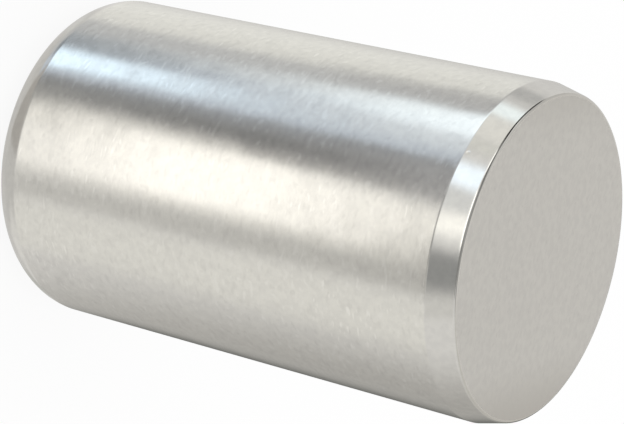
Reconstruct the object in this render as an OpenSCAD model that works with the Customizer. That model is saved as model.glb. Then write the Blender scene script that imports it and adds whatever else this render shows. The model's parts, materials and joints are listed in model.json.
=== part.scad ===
// Ground steel dowel pin: the head end has a straight chamfered lead, the tail
// end is rounded over. All sizes are in millimetres. The pin stands on its tail
// end: the origin is the centre of that face, and +Z runs up to the head end.

/* [Shank] */
// Diameter of the ground shank, the size that fits the reamed hole
shank_d = 9.53; // [5:0.01:40]
// Length of the whole pin, from end face to end face
pin_l = 15.875; // [6:0.125:100]

/* [Head end] */
// Length of the head chamfer, along the pin
head_chamfer_l = 0.8; // [0.4:0.05:1.6]
// How far the head chamfer falls in from the shank, on the radius
head_chamfer_drop = 0.2; // [0.1:0.02:0.6]
// Radius of the broken edge between the head chamfer and the head face
head_edge_r = 0.1; // [0.02:0.01:0.15]

/* [Tail end] */
// Radius of the round between the tail face and the shank
tail_round_r = 1.25; // [0.5:0.05:2]
// How much of that round the grinding of the shank takes off, on the radius
grinding_cut = 0.004; // [0.002:0.001:0.05]

/* [Hidden] */
$fn = 128;

steel = [0.73, 0.72, 0.69];
shank_r = shank_d / 2;

// The pin is turned a little over size, and then its shank is ground
blank_r = shank_r + grinding_cut;
tail_face_r = blank_r - tail_round_r;

// The chamfer's own line runs on past the shank, out to the blank's radius
head_slope = atan2(head_chamfer_drop, head_chamfer_l);
blank_chamfer_l = head_chamfer_l + grinding_cut / tan(head_slope);

// The head face ends where its broken edge begins
head_face_r = shank_r - head_chamfer_drop - head_edge_r / tan((90 + head_slope) / 2);

// How far inside the round of the broken edge the chamfer's line ends, so that
// line and round always cross
overlap = 0.0001;
edge_reach = head_edge_r - overlap;

// Half of the turned blank's section on one side of its axis, as [radius, height]
module turned_section() {
    polygon([
        [0, 0],
        [tail_face_r, 0],
        [blank_r, tail_round_r],
        [blank_r, pin_l - blank_chamfer_l],
        [head_face_r + edge_reach * cos(head_slope),
         pin_l - head_edge_r + edge_reach * sin(head_slope)],
        [head_face_r, pin_l],
        [0, pin_l]
    ]);
    translate([tail_face_r, tail_round_r]) circle(r = tail_round_r);
    translate([head_face_r, pin_l - head_edge_r]) circle(r = head_edge_r);
}

// The same section after grinding, which leaves a true shank
module ground_section() {
    intersection() {
        turned_section();
        square([shank_r, pin_l]);
    }
}

module dowel_pin() {
    color(steel) rotate_extrude() ground_section();
}

dowel_pin();
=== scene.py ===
import json
import math

import bpy
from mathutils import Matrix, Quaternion, Vector


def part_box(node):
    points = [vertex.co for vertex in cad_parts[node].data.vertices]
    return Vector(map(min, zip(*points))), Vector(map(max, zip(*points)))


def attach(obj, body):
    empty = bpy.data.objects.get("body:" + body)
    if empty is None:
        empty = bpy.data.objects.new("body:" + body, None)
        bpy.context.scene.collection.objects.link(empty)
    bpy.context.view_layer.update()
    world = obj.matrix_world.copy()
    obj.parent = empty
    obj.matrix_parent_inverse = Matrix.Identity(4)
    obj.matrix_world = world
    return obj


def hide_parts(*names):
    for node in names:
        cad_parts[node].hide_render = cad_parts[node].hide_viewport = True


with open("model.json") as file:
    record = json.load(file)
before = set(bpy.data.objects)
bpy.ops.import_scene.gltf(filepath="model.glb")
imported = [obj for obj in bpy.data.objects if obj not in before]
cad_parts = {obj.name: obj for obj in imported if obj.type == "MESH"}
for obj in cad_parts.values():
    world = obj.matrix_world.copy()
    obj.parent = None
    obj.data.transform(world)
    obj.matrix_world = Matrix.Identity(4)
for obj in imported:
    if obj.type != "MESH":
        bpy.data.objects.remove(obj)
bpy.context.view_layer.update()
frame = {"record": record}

# ---------------------------------------------------------------------------
# Dowel pin. One solid pin, turned from hard steel bar with a chamfered lead at
# the head and a round at the tail. The shank is ground to size last, which
# leaves a slight edge where the tail's round meets it.
# ---------------------------------------------------------------------------

MM = 0.001
press_end = next(m for m in frame["record"]["mounts"] if m["name"] == "press_end")
SHANK_R = press_end["dims"]["r_mm"] * MM
PIN_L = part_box("dowel_pin")[1].z
HEAD_CHAMFER_L = 0.8 * MM
HEAD_CHAMFER_DROP = 0.2 * MM
HEAD_EDGE_R = 0.1 * MM
TAIL_ROUND_R = 1.25 * MM
GRINDING_CUT = 0.004 * MM
SEGMENTS = 512             # round the pin
POINTS_IN_A_ROUND = 16     # along the section of each round
RING_GAP = 0.04 * MM       # from an edge to the ring beside it
MERGE_WITHIN = 1e-7


class Wire:
    """An output of a node. Arithmetic on it adds Math nodes to its tree."""

    def __init__(self, tree, socket):
        self.tree = tree
        self.socket = socket

    def __add__(self, other):
        return self.tree.math("ADD", self, other)

    def __radd__(self, other):
        return self.tree.math("ADD", other, self)

    def __sub__(self, other):
        return self.tree.math("SUBTRACT", self, other)

    def __rsub__(self, other):
        return self.tree.math("SUBTRACT", other, self)

    def __mul__(self, other):
        return self.tree.math("MULTIPLY", self, other)

    def __rmul__(self, other):
        return self.tree.math("MULTIPLY", other, self)

    def __truediv__(self, other):
        return self.tree.math("DIVIDE", self, other)

    def __rtruediv__(self, other):
        return self.tree.math("DIVIDE", other, self)


class Tree:
    """A node tree that is being built."""

    def __init__(self, nodes):
        self.nodes = nodes

    def node(self, kind, settings=None, sockets=None, out=0):
        """Adds a node: its settings first, then a value or a Wire for each socket."""
        made = self.nodes.nodes.new(kind)
        for name, value in (settings or {}).items():
            if name == "index_switch_items":
                while len(made.index_switch_items) < value:
                    made.index_switch_items.new()
            else:
                setattr(made, name, value)
        for key, value in (sockets or {}).items():
            self.feed(made.inputs[key], value)
        return Wire(self, made.outputs[out]) if made.outputs else None

    def feed(self, socket, value):
        """Links a Wire to a socket, or sets a plain value on it."""
        if isinstance(value, Wire):
            self.nodes.links.new(value.socket, socket)
        else:
            socket.default_value = value

    def other(self, wire, name):
        """Another output of the node that a wire comes from."""
        return Wire(self, wire.socket.node.outputs[name])

    def math(self, operation, *values):
        return self.node("ShaderNodeMath", {"operation": operation}, dict(enumerate(values)))

    def vector(self, operation, *values, out=0):
        return self.node("ShaderNodeVectorMath", {"operation": operation},
                         dict(enumerate(values)), out)

    def ramp(self, value, start, end, low=0.0, high=1.0):
        """Goes smoothly from low to high as value goes from start to end."""
        return self.node("ShaderNodeMapRange", {"interpolation_type": "SMOOTHSTEP"}, {
            "Value": value, "From Min": start, "From Max": end, "To Min": low, "To Max": high})

    def blend(self, factor, a, b):
        """The colour a where factor is 0 and b where it is 1."""
        return self.node("ShaderNodeMix", {"data_type": "RGBA"}, {0: factor, 6: a, 7: b}, out=2)

    def grain(self, place, size, detail=0.0):
        """Noise from 0 to 1. Its spots have one size, or a size along each axis."""
        if isinstance(size, tuple):
            place = self.vector("MULTIPLY", place, tuple(1 / length for length in size))
            size = 1.0
        return self.node("ShaderNodeTexNoise", {},
                         {"Vector": place, "Scale": 1 / size, "Detail": detail})

    def pick(self, data_type, index, values):
        """The one of the values that the index counts to."""
        settings = {"data_type": data_type, "index_switch_items": len(values)}
        return self.node("GeometryNodeIndexSwitch", settings, dict(enumerate([index, *values])))


def empty_tree(owner):
    """The node tree of a material or a world, with nothing in it yet."""
    owner.use_nodes = True
    owner.node_tree.nodes.clear()
    return Tree(owner.node_tree)


def lathe_tree():
    """Draws the pin's half section from its sizes and turns it about the axis."""
    nodes = bpy.data.node_groups.new("turned and ground pin", "GeometryNodeTree")
    tree = Tree(nodes)
    nodes.interface.new_socket("Geometry", in_out="OUTPUT", socket_type="NodeSocketGeometry")
    for name in ("Shank Radius", "Length", "Chamfer Length", "Chamfer Drop", "Edge Radius",
                 "Tail Radius", "Grinding Cut", "Ring Gap"):
        nodes.interface.new_socket(name, in_out="INPUT", socket_type="NodeSocketFloat")
    nodes.interface.new_socket("Segments", in_out="INPUT", socket_type="NodeSocketInt")
    nodes.interface.new_socket("Material", in_out="INPUT", socket_type="NodeSocketMaterial")
    inputs = tree.node("NodeGroupInput").socket.node.outputs
    size = {socket.name: Wire(tree, socket) for socket in inputs if socket.name}
    shank_r = size["Shank Radius"]
    pin_l = size["Length"]
    gap = size["Ring Gap"]

    # the tail's round is turned on the blank, then grinding cuts off its start
    tail_r = size["Tail Radius"]
    tail_flat = shank_r + size["Grinding Cut"] - tail_r
    start = tree.math("ARCCOSINE", (shank_r - tail_flat) / tail_r)
    tail_l = tail_r * (1 - tree.math("SINE", start))
    tail_corner = shank_r - tail_l * tree.math("TANGENT", start)

    # the head's chamfer, and the corner that its broken edge rounds off
    shoulder = pin_l - size["Chamfer Length"]
    slope = tree.math("ARCTAN2", size["Chamfer Drop"], size["Chamfer Length"])
    sine = tree.math("SINE", slope)
    cosine = tree.math("COSINE", slope)
    head_corner = shank_r - size["Chamfer Drop"]
    set_back = size["Edge Radius"] * (1 - sine) / cosine

    # each corner's radius, height and fillet; a ring close to each edge keeps
    # the long faces flat right up to it
    section = [
        (0.0, 0.0, 0.0),
        (tail_flat - gap, 0.0, 0.0),
        (tail_corner, 0.0, tail_r),
        (shank_r, tail_l, 0.0),
        (shank_r, tail_l + gap, 0.0),
        (shank_r, shoulder - gap, 0.0),
        (shank_r, shoulder, 0.0),
        (shank_r - gap * sine, shoulder + gap * cosine, 0.0),
        (head_corner + (set_back + gap) * sine, pin_l - (set_back + gap) * cosine, 0.0),
        (head_corner, pin_l, size["Edge Radius"]),
        (head_corner - set_back - gap, pin_l, 0.0),
        (0.0, pin_l, 0.0),
    ]
    corners = [tree.node("ShaderNodeCombineXYZ", {}, {"X": radius, "Z": height})
               for radius, height, fillet in section]
    fillets = [fillet for radius, height, fillet in section]
    index = tree.node("GeometryNodeInputIndex")
    line = tree.node("GeometryNodeMeshLine", {}, {"Count": len(section)})
    line = tree.node("GeometryNodeSetPosition", {},
                     {"Geometry": line, "Position": tree.pick("VECTOR", index, corners)})
    line = tree.node("GeometryNodeMeshToCurve", {}, {"Mesh": line})
    line = tree.node("GeometryNodeFilletCurve", {"mode": "POLY"}, {
        "Curve": line, "Count": POINTS_IN_A_ROUND, "Radius": tree.pick("FLOAT", index, fillets)})
    points = tree.node("GeometryNodeCurveToPoints", {"mode": "EVALUATED"}, {"Curve": line})
    rings = tree.node("GeometryNodeAttributeDomainSize", {"component": "POINTCLOUD"},
                      {"Geometry": points})

    # a grid is rolled up, one column for each segment, and its seam and both
    # its poles are merged; the half keeps a column's first point in its column
    grid = tree.node("GeometryNodeMeshGrid", {},
                     {"Vertices X": size["Segments"] + 1, "Vertices Y": rings})
    ring = tree.math("MODULO", index, rings)
    turn = tree.math("FLOOR", (index + 0.5) / rings) / size["Segments"] * math.tau
    spot = tree.node("GeometryNodeSampleIndex", {"data_type": "FLOAT_VECTOR"}, {
        "Geometry": points, "Index": ring, "Value": tree.node("GeometryNodeInputPosition")})
    radius = tree.node("ShaderNodeSeparateXYZ", {}, {"Vector": spot})
    place = tree.node("ShaderNodeCombineXYZ", {}, {
        "X": radius * tree.math("COSINE", turn),
        "Y": radius * tree.math("SINE", turn),
        "Z": tree.other(radius, "Z"),
    })
    grid = tree.node("GeometryNodeSetPosition", {}, {"Geometry": grid, "Position": place})
    grid = tree.node("GeometryNodeMergeByDistance", {},
                     {"Geometry": grid, "Distance": MERGE_WITHIN})
    grid = tree.node("GeometryNodeSetShadeSmooth", {}, {"Geometry": grid})
    grid = tree.node("GeometryNodeRealizeInstances", {}, {"Geometry": grid})
    grid = tree.node("GeometryNodeSetMaterial", {},
                     {"Geometry": grid, "Material": size["Material"]})
    tree.node("NodeGroupOutput", {}, {0: grid})
    return nodes


# the sizes of the marks along x, y and z, or one size for spots that are round
WHEEL_MARK = (0.25 * MM, 0.25 * MM, 0.15 * MM)
FACE_MARK = (0.20 * MM, 0.08 * MM, 1.0 * MM)
FLECK = (0.30 * MM, 0.30 * MM, 0.08 * MM)
CLOUD = 2.5 * MM
MOTTLE = 0.22 * MM
RIPPLE = 0.9 * MM
FINISH_EDGE = 0.01 * MM    # over which one finish gives way to the next

# how far they rise and fall in the steel
MARK_DEPTH = 0.0005 * MM
RIPPLE_DEPTH = 0.006 * MM

# where each begins in its grain, and where it is at its strongest
LIGHT_MARK_RANGE = (0.12, 0.26)
DARK_MARK_RANGE = (-0.08, -0.25)
FLECK_RANGE = (0.66, 0.80)
FLECK_PATCH_RANGE = (0.42, 0.60)
MOTTLE_RANGE = (0.35, 0.65)

# the share of the shank's marks and flecks that the turned ends have
TURNED_MARKS = 0.5
TURNED_FLECKS = 0.25
DARK_MARK_STRENGTH = 0.5

# the roughness of the turned chamfer and round, and what is added to it
TURNED_ROUGHNESS = 0.13
GROUND_ROUGHER = 0.04
SATIN_ROUGHER = 0.33
CLOUD_ROUGHER = 0.05
LIGHT_MARK_ROUGHER = 0.03

STEEL_DARKER = (0.585, 0.575, 0.552, 1)
STEEL_LIGHTER = (0.615, 0.605, 0.578, 1)
LIGHT_MARK_STEEL = (0.635, 0.625, 0.60, 1)
DARK_MARK_STEEL = (0.53, 0.52, 0.50, 1)
FLECK_STEEL = (0.66, 0.65, 0.625, 1)
# the darker colour painted on the head face's rim as shade
FACE_SHADE_STEEL = (0.50, 0.485, 0.455, 1)

# the painted shade on two sides of the head face: how far out each begins, which way
# the first lies, how strong the second is, and how far down from the face both reach
FACE_SHADE_FROM = 0.55 * SHANK_R
SECOND_FACE_SHADE_FROM = 0.65 * SHANK_R
SECOND_FACE_SHADE_STRENGTH = 0.5
FACE_SHADE_TURN = math.radians(12)
FACE_SHADE_FULL_DOWN_TO = 0.02 * MM
FACE_SHADE_DOWN_TO = 0.05 * MM

NICK_UP = 0.11 * MM        # from the shoulder
NICK_TURN = math.radians(-118)
NICK_R = 0.08 * MM
NICK_BOTTOM_R = 0.01 * MM
NICK_DEPTH = 0.0035 * MM


def ground_steel():
    """Bright hard steel: a fine ground shank, smooth turned ends and satin end faces."""
    material = bpy.data.materials.new("ground steel")
    tree = empty_tree(material)
    place = tree.other(tree.node("ShaderNodeTexCoord"), "Object")
    x = tree.node("ShaderNodeSeparateXYZ", {}, {"Vector": place})
    y = tree.other(x, "Y")
    z = tree.other(x, "Z")

    # the satin end faces reach out to where each end's round begins; the change
    # from one end's reach to the other's lies inside the shank
    head_slope = math.atan2(HEAD_CHAMFER_DROP, HEAD_CHAMFER_L)
    set_back = HEAD_EDGE_R * (1 - math.sin(head_slope)) / math.cos(head_slope)
    head_flat = SHANK_R - HEAD_CHAMFER_DROP - set_back
    tail_flat = SHANK_R + GRINDING_CUT - TAIL_ROUND_R
    radius = tree.vector("LENGTH", tree.vector("MULTIPLY", place, (1, 1, 0)), out=1)
    flat = tree.ramp(z, 0.4 * PIN_L, 0.6 * PIN_L, tail_flat, head_flat)
    ends = tree.ramp(radius - flat, 0, -FINISH_EDGE)

    # the wheel ran over the shank alone, between the tail's round and the chamfer
    shoulder = PIN_L - HEAD_CHAMFER_L
    start = math.acos((TAIL_ROUND_R - GRINDING_CUT) / TAIL_ROUND_R)
    ground_from = TAIL_ROUND_R * (1 - math.sin(start))
    shank = tree.ramp(z, ground_from - FINISH_EDGE, ground_from + FINISH_EDGE)
    shank = shank * tree.ramp(z, shoulder + FINISH_EDGE, shoulder - FINISH_EDGE)

    # short marks run round the shank and straight across the end faces, and the
    # highest and lowest of the grain are the light marks and the dark ones
    wheel_marks = tree.grain(place, WHEEL_MARK, detail=0.3)
    face_marks = tree.grain(place, FACE_MARK, detail=1.0)
    marks = (wheel_marks - 0.5) * (1 - ends) * (TURNED_MARKS + shank * (1 - TURNED_MARKS))
    marks = marks + (face_marks - 0.5) * ends
    light_marks = tree.ramp(marks, *LIGHT_MARK_RANGE)
    dark_marks = tree.ramp(marks, *DARK_MARK_RANGE)

    # bright flecks lie close together in some patches and are rare in others
    cloud = tree.grain(place, CLOUD, detail=2.0)
    flecks = tree.ramp(tree.grain(place, FLECK), *FLECK_RANGE)
    flecks = flecks * tree.ramp(cloud, *FLECK_PATCH_RANGE)
    flecks = flecks * (TURNED_FLECKS + shank * (1 - TURNED_FLECKS)) * (1 - ends)

    roughness = TURNED_ROUGHNESS + shank * GROUND_ROUGHER + ends * SATIN_ROUGHER
    roughness = roughness + (cloud - 0.5) * CLOUD_ROUGHER + light_marks * LIGHT_MARK_ROUGHER
    mottle = tree.ramp(tree.grain(place, MOTTLE, detail=2.0), *MOTTLE_RANGE)
    colour = tree.blend(mottle, STEEL_DARKER, STEEL_LIGHTER)
    colour = tree.blend(light_marks, colour, LIGHT_MARK_STEEL)
    colour = tree.blend(dark_marks * DARK_MARK_STRENGTH, colour, DARK_MARK_STEEL)
    colour = tree.blend(flecks, colour, FLECK_STEEL)

    # the head face is painted darker towards its rim on two opposite sides, as shade
    lean = x * math.cos(FACE_SHADE_TURN) + y * math.sin(FACE_SHADE_TURN)
    second_painted_face_shade = tree.ramp(lean, -SECOND_FACE_SHADE_FROM, -SHANK_R) * SECOND_FACE_SHADE_STRENGTH
    painted_face_shade = tree.ramp(lean, FACE_SHADE_FROM, SHANK_R) + second_painted_face_shade
    painted_face_shade = painted_face_shade * tree.ramp(z, PIN_L - FACE_SHADE_DOWN_TO, PIN_L - FACE_SHADE_FULL_DOWN_TO)
    colour = tree.blend(painted_face_shade, colour, FACE_SHADE_STEEL)

    # a small nick in the chamfer, from handling
    nick_r = SHANK_R - NICK_UP * math.tan(head_slope)
    nick_place = (nick_r * math.cos(NICK_TURN), nick_r * math.sin(NICK_TURN), shoulder + NICK_UP)
    nick = tree.ramp(tree.vector("DISTANCE", place, nick_place, out=1), NICK_R, NICK_BOTTOM_R)

    height = marks * MARK_DEPTH + tree.grain(place, RIPPLE) * RIPPLE_DEPTH - nick * NICK_DEPTH
    normal = tree.node("ShaderNodeBump", {}, {"Height": height, "Distance": 1.0, "Strength": 1.0})
    steel = tree.node("ShaderNodeBsdfPrincipled", {}, {
        "Base Color": colour, "Roughness": roughness, "Metallic": 1.0, "Normal": normal})
    tree.node("ShaderNodeOutputMaterial", {}, {"Surface": steel})
    return material


pin = bpy.data.objects.new("ground_pin", bpy.data.meshes.new("ground_pin"))
bpy.context.collection.objects.link(pin)
lathe = pin.modifiers.new("lathe", "NODES")
lathe.node_group = lathe_tree()
pin_sizes = {
    "Shank Radius": SHANK_R,
    "Length": PIN_L,
    "Chamfer Length": HEAD_CHAMFER_L,
    "Chamfer Drop": HEAD_CHAMFER_DROP,
    "Edge Radius": HEAD_EDGE_R,
    "Tail Radius": TAIL_ROUND_R,
    "Grinding Cut": GRINDING_CUT,
    "Ring Gap": RING_GAP,
    "Segments": SEGMENTS,
    "Material": ground_steel(),
}
for item in lathe.node_group.interface.items_tree:
    if item.in_out == "INPUT":
        lathe[item.identifier] = pin_sizes[item.name]
graph = bpy.context.evaluated_depsgraph_get()
pin.data = bpy.data.meshes.new_from_object(pin.evaluated_get(graph), depsgraph=graph)
pin.data.materials.pop(index=0)    # the grid's own empty slot
pin.modifiers.clear()
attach(pin, "root")
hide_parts("dowel_pin")

# ---------------------------------------------------------------------------
# Floor. A board with pale matt paint, which the pin stands on and which runs
# out of sight on all sides. The eye sees it as plain white with a little of
# the lit paint, and that keeps the pin's soft shadow.
# ---------------------------------------------------------------------------

FLOOR_SIZE = 4.0
FLOOR_PAINT = (0.98, 0.98, 0.98, 1)
FLOOR_WHITE_SHARE = 0.88
WHITE = (1, 1, 1, 1)

floor_material = bpy.data.materials.new("pale floor")
tree = empty_tree(floor_material)
camera_ray = tree.node("ShaderNodeLightPath")
seen = camera_ray + tree.other(camera_ray, "Is Glossy Ray")
seen = seen + tree.other(camera_ray, "Is Transmission Ray")
seen = tree.math("MINIMUM", seen, 1.0)
paint = tree.node("ShaderNodeBsdfDiffuse", {}, {"Color": FLOOR_PAINT})
plain_white = tree.node("ShaderNodeEmission", {}, {"Color": WHITE, "Strength": 1.0})
board = tree.node("ShaderNodeMixShader", {},
                  {0: seen * FLOOR_WHITE_SHARE, 1: paint, 2: plain_white})
tree.node("ShaderNodeOutputMaterial", {}, {"Surface": board})

half = FLOOR_SIZE / 2
floor_corners = [(-half, -half, 0), (half, -half, 0), (half, half, 0), (-half, half, 0)]
floor_mesh = bpy.data.meshes.new("floor")
floor_mesh.from_pydata(floor_corners, [], [(0, 1, 2, 3)])
floor_mesh.materials.append(floor_material)
floor = bpy.data.objects.new("floor", floor_mesh)
bpy.context.collection.objects.link(floor)
# reflections pass through the board to the cards that lie lower than it, so the
# Is Glossy Ray in its material does nothing while this line stands
floor.visible_glossy = False

# ---------------------------------------------------------------------------
# Studio light. A white room with soft panels, grey walls and dark flags set up
# round the pin. Bright steel shows them as the long bands in its shank, and a
# matt thing is lit by plain white alone.
# ---------------------------------------------------------------------------

ROOM_WHITE = (1.0, 0.99, 0.97, 1)
CARDS = [
    # name, azimuth from, to, soft; elevation from, to, soft, in degrees; light
    # each card covers the ones before it
    ("low wall", 0, 360, 1, -90, -44, 8, (0.79, 0.78, 0.76)),
    ("right wall", 314, 356, 18, -42, -20, 8, (1.09, 1.08, 1.03)),
    ("upper wall", 90, 165, 10, -39.5, -26, 5, (1.12, 1.12, 1.07)),
    ("chamfer wall", 95, 166, 8, -26, -8, 6, (0.90, 0.89, 0.87)),
    ("low left wall", 116, 160, 20, -55, -47, 4, (0.88, 0.88, 0.86)),
    ("corner shade low", 60, 121, 54, -75, -43, 8, (0.71, 0.70, 0.68)),
    ("corner shade", 56, 115, 54, -43, 8, 8, (0.72, 0.71, 0.69)),
    ("ceiling", 0, 360, 1, 66, 90, 20, (0.45, 0.45, 0.44)),
    ("back wall", 45, 135, 30, 8, 62, 14, (0.90, 0.88, 0.85)),
    ("back right", 10, 66, 40, 4, 62, 10, (0.79, 0.78, 0.74)),
    ("back left", 116, 160, 30, 8, 62, 14, (0.76, 0.75, 0.73)),
    ("far wall low", 380, 450, 90, -39, 3, 5, (0.595, 0.58, 0.55)),
    ("far wall high", 382, 450, 90, -34, 3, 9, (0.54, 0.53, 0.505)),
    ("far wall dark", 423, 450, 30, -36.8, 9, 4, (0.165, 0.165, 0.155)),
    ("low right wall", 340, 392, 30, -60, -42, 6, (1.00, 0.99, 0.96)),
    ("low corner", 402, 436, 16, -47.5, -39, 4, (0.62, 0.62, 0.59)),
    ("post", 146, 161, 7, -26, -10, 5, (0.68, 0.68, 0.67)),
    ("grey wall", 164, 226, 12, -60, -13, 6, (0.75, 0.76, 0.77)),
    ("blue wall", 189, 224, 8, -60, -13, 6, (0.80, 0.88, 0.99)),
    ("left shade", 158, 180, 8, -31.5, -24, 5, (0.66, 0.66, 0.66)),
    ("grey low", 180, 197, 8, -52, -36.2, 1.5, (0.40, 0.44, 0.48)),
    ("cool glow", 181, 191, 8, -36, -33.8, 2, (0.94, 0.99, 1.05)),
    ("cool window low", 198.5, 214, 6, -44, -36.4, 2, (1.66, 2.04, 2.36)),
    ("cool window top", 201, 213, 6, -37.8, -36.2, 1.2, (1.92, 2.30, 2.62)),
    ("cool window sill", 201, 215, 6, -35.9, -34, 1.2, (0.66, 0.73, 0.83)),
    ("cool window edge", 196, 216, 7, -33.5, -16, 4, (0.87, 0.94, 1.03)),
    ("cool window side", 196, 212, 8, -31, -16, 3, (1.07, 1.14, 1.20)),
    ("cool window middle", 181, 197, 8, -32, -16, 4, (1.50, 1.67, 1.77)),
    ("cool window high", 181, 201, 8, -30.6, -16, 4, (1.7, 1.86, 1.97)),
    ("window sill", 170, 184, 8, -17, -3, 6, (1.4, 1.52, 1.55)),
    ("left panel", 184, 204, 10, -13, 6, 8, (1.14, 1.13, 1.08)),
    ("left gap", 204, 214, 8, -10, 3, 6, (0.98, 0.98, 0.93)),
    ("low table", 208, 285, 14, -90, -46, 6, (0.60, 0.58, 0.55)),
    ("dark gap", 221.5, 238, 7, -50, -12, 6, (0.36, 0.365, 0.37)),
    ("gap shoulder", 220.5, 229, 6, -36, -32, 2, (0.44, 0.46, 0.49)),
    ("warm glow", 241, 297, 9, -38.5, -22, 4, (1.15, 1.13, 1.07)),
    ("warm box", 245.5, 289, 11, -37.8, -31.5, 5, (2.24, 2.19, 2.08)),
    ("gap tail", 229, 246, 12, -50, -38, 2, (0.57, 0.57, 0.55)),
    ("gap tail side", 243, 260, 12, -50, -38.3, 2, (0.68, 0.67, 0.64)),
    ("dark gap low", 232, 241, 6, -36, -34, 1.5, (0.30, 0.30, 0.30)),
    ("side grey", 297, 312, 8, -42, -16, 8, (0.80, 0.79, 0.76)),
    ("dark gap middle", 231, 249.3, 7, -34.1, -31.3, 2, (0.15, 0.15, 0.15)),
    ("dark gap high", 226, 252, 11, -31.5, -14, 2, (0.385, 0.385, 0.385)),
    ("gap end", 226, 256, 12, -30.2, -14, 2, (0.64, 0.64, 0.65)),
    ("head shade", 274, 308, 22, -30, -14, 4, (0.62, 0.61, 0.58)),
    ("edge shade", 240, 284, 12, -23, -10, 5, (0.50, 0.50, 0.49)),
    ("strip gap", 236, 256, 8, -12, 3, 6, (0.93, 0.94, 0.94)),
    ("strip one", 223, 238, 9, -12, 3, 6, (1.6, 1.78, 1.95)),
    ("strip two", 255.5, 269.4, 9, -12, 3, 6, (1.58, 1.56, 1.49)),
    ("post edge", 300, 322, 8, -12, 20, 6, (0.90, 0.89, 0.86)),
    ("dark post", 279.3, 305, 13, -12, 50, 6, (0.42, 0.425, 0.42)),
    ("edge light left", 207, 225, 6, 3, 22, 4, (2.0, 2.0, 1.95)),
    ("edge light right", 237, 275, 8, 2, 25, 4, (2.3, 2.3, 2.2)),
    ("left flag", 150, 189, 8, -1, 25, 8, (0.06, 0.06, 0.06)),
    ("left flag high", 180, 197, 6, 0, 42, 6, (0.03, 0.03, 0.03)),
    ("left flag end", 194, 205, 6, 4, 48, 6, (0.28, 0.28, 0.27)),
    ("hood left", 176, 200, 10, 46, 82, 8, (0.55, 0.55, 0.54)),
    ("hood", 192, 230, 10, 28, 82, 6, (0.24, 0.24, 0.23)),
    ("hood right", 224, 278, 10, 34, 82, 6, (0.48, 0.48, 0.47)),
    ("hood end", 272, 316, 10, 34, 76, 6, (0.34, 0.34, 0.33)),
]

world = bpy.data.worlds.new("studio")
bpy.context.scene.world = world
tree = empty_tree(world)
direction = tree.vector("NORMALIZE", tree.node("ShaderNodeTexCoord"))
compass = tree.vector("NORMALIZE", tree.vector("MULTIPLY", direction, (1, 1, 0)))
height = tree.other(tree.node("ShaderNodeSeparateXYZ", {}, {"Vector": direction}), "Z")
elevation = tree.math("ARCSINE", height)
room = ROOM_WHITE
for name, left, right, side_soft, low, high, top_soft, light in CARDS:
    # a card fades out over its soft width, half of which lies past its edge
    level = tree.math("ABSOLUTE", elevation - math.radians((low + high) / 2))
    tall = math.radians((high - low) / 2)
    fade = math.radians(top_soft / 2)
    cover = tree.ramp(level, tall + fade, tall - fade)
    if right - left < 360:
        middle = math.radians((left + right) / 2)
        faces = (math.cos(middle), math.sin(middle), 0)
        facing = tree.vector("DOT_PRODUCT", compass, faces, out=1)
        aside = tree.math("ARCCOSINE", tree.math("MINIMUM", facing, 1.0))
        wide = math.radians((right - left) / 2)
        fade = math.radians(side_soft / 2)
        cover = cover * tree.ramp(aside, wide + fade, wide - fade)
    room = tree.blend(cover, room, (*light, 1))

camera_ray = tree.node("ShaderNodeLightPath")
seen = camera_ray + tree.other(camera_ray, "Is Transmission Ray")
seen = tree.math("MINIMUM", seen, 1.0)
# reflections alone see the cards; the eye and matt things see plain white
sky = tree.blend(tree.other(camera_ray, "Is Glossy Ray"), WHITE, room)
sky = tree.blend(seen, sky, WHITE)
background = tree.node("ShaderNodeBackground", {}, {"Color": sky, "Strength": 1.0})
tree.node("ShaderNodeOutputWorld", {}, {"Surface": background})

# ---------------------------------------------------------------------------
# Camera. A long lens that looks down on the head from the front. It is rolled
# on its side, so that the standing pin lies across the frame, head to the right.
# ---------------------------------------------------------------------------

CAMERA_PLACE = Vector((0, -60.498, 46.390)) * MM
CAMERA_AIM = Vector((0.227, 0, 8.336)) * MM
CAMERA_ROLL = math.radians(103.548)
CAMERA_LENS = 143.85
CAMERA_SENSOR = 36
CAMERA_NEAREST = 1 * MM

camera = bpy.data.objects.new("camera", bpy.data.cameras.new("camera"))
bpy.context.collection.objects.link(camera)
bpy.context.scene.camera = camera
camera.data.lens = CAMERA_LENS
camera.data.sensor_width = CAMERA_SENSOR
camera.data.clip_start = CAMERA_NEAREST
camera.location = CAMERA_PLACE
camera.rotation_mode = "QUATERNION"
upright = (CAMERA_AIM - CAMERA_PLACE).to_track_quat("-Z", "Y")
camera.rotation_quaternion = upright @ Quaternion((0, 0, 1), CAMERA_ROLL)
bpy.context.scene.view_settings.view_transform = "Standard"
